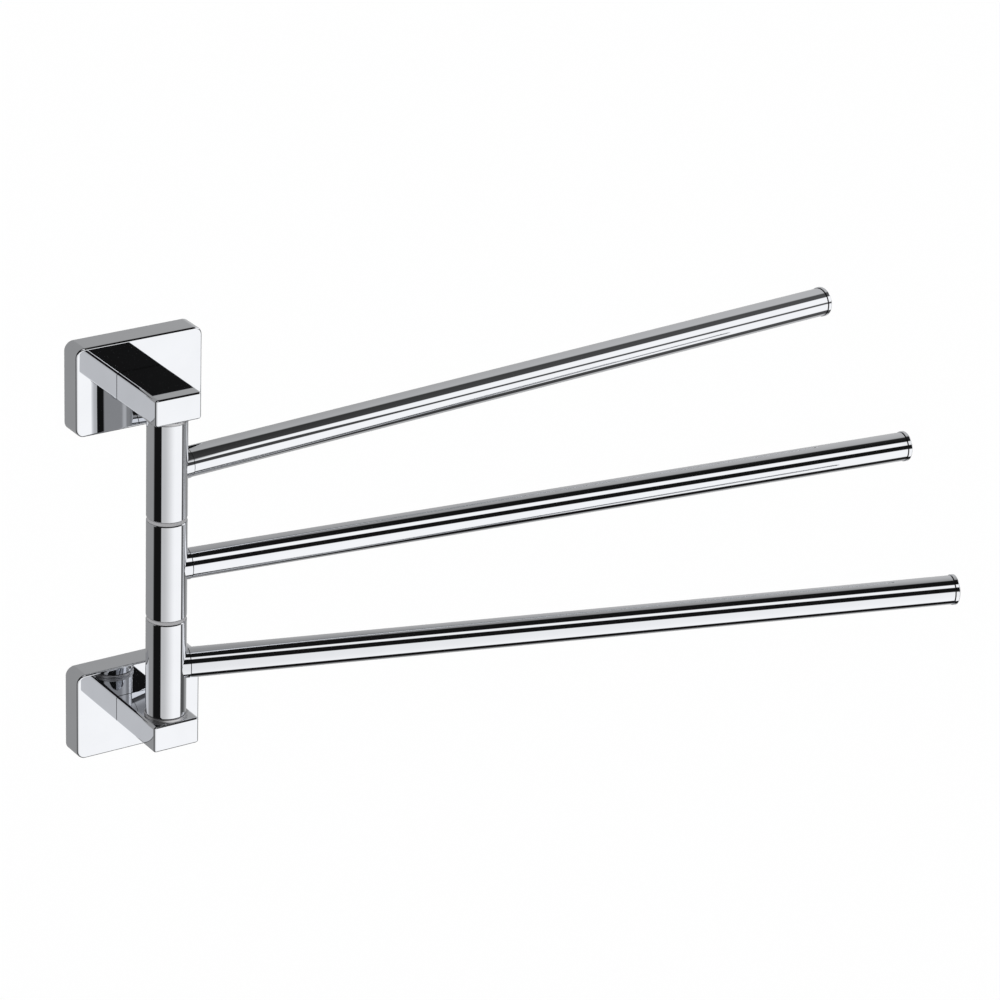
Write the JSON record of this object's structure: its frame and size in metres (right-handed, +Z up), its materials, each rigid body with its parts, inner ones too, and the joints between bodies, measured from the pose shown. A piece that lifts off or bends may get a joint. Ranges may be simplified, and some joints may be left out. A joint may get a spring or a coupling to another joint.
{
  "type": "swing arm towel bar",
  "caption": "Wall-mounted swing arm towel bar: chrome brackets carry an upright axle about which round bars swing one above another.",
  "frame": {"origin": "on the wall plane, in the middle of the rectangle of the four wall screw holes", "axes": "+X along the wall, the side that the bars point to at rest; -Y out of the wall; +Z up"},
  "size_m": [0.4775, 0.1742, 0.233],
  "materials": {
    "chrome_casting": "polished chrome plate on a zinc casting",
    "chrome_tube": "polished chrome plate on brass tube and turned brass",
    "bright_steel": "bright zinc plated steel",
    "satin_steel": "satin nickel plated steel",
    "stainless": "drawn stainless steel",
    "zinc": "bare die-cast zinc",
    "grey_acetal": "light grey acetal, smooth",
    "nylon": "natural nylon"
  },
  "bodies": {
    "frame": {"upper_shell": "chrome_casting", "upper_mounting_plate": "zinc", "upper_grub_screw": "bright_steel", "upper_arm": "chrome_casting", "upper_arm_screws": "bright_steel", "lower_shell": "chrome_casting", "lower_mounting_plate": "zinc", "lower_grub_screw": "bright_steel", "lower_arm": "chrome_casting", "lower_arm_screws": "bright_steel", "axle": "stainless", "axle_screw": "bright_steel", "spring_washer": "stainless", "top_ring": "satin_steel", "upper_spacer": "grey_acetal", "lower_spacer": "grey_acetal", "bottom_ring": "satin_steel"},
    "upper_bar": {"upper_sleeve": "chrome_tube", "upper_bushes": "nylon", "upper_collar": "chrome_tube", "upper_stud": "bright_steel", "upper_plug": "zinc", "upper_tube": "chrome_tube", "upper_cap": "chrome_tube"},
    "middle_bar": {"middle_sleeve": "chrome_tube", "middle_bushes": "nylon", "middle_collar": "chrome_tube", "middle_stud": "bright_steel", "middle_plug": "zinc", "middle_tube": "chrome_tube", "middle_cap": "chrome_tube"},
    "lower_bar": {"lower_sleeve": "chrome_tube", "lower_bushes": "nylon", "lower_collar": "chrome_tube", "lower_stud": "bright_steel", "lower_plug": "zinc", "lower_tube": "chrome_tube", "lower_cap": "chrome_tube"}
  },
  "joints": [
    {"name": "upper_bar_swing", "type": "hinge", "parent": "frame", "child": "upper_bar", "pos_m": [0, -0.0425, 0.056], "axis": [0, 0, 1], "range_deg": [-188.5, 0.1]},
    {"name": "middle_bar_swing", "type": "hinge", "parent": "frame", "child": "middle_bar", "pos_m": [0, -0.0425, 0], "axis": [0, 0, 1], "range_deg": [-177.3, 11.3]},
    {"name": "lower_bar_swing", "type": "hinge", "parent": "frame", "child": "lower_bar", "pos_m": [0, -0.0425, -0.056], "axis": [0, 0, 1], "range_deg": [-168, 20.6]}
  ]
}
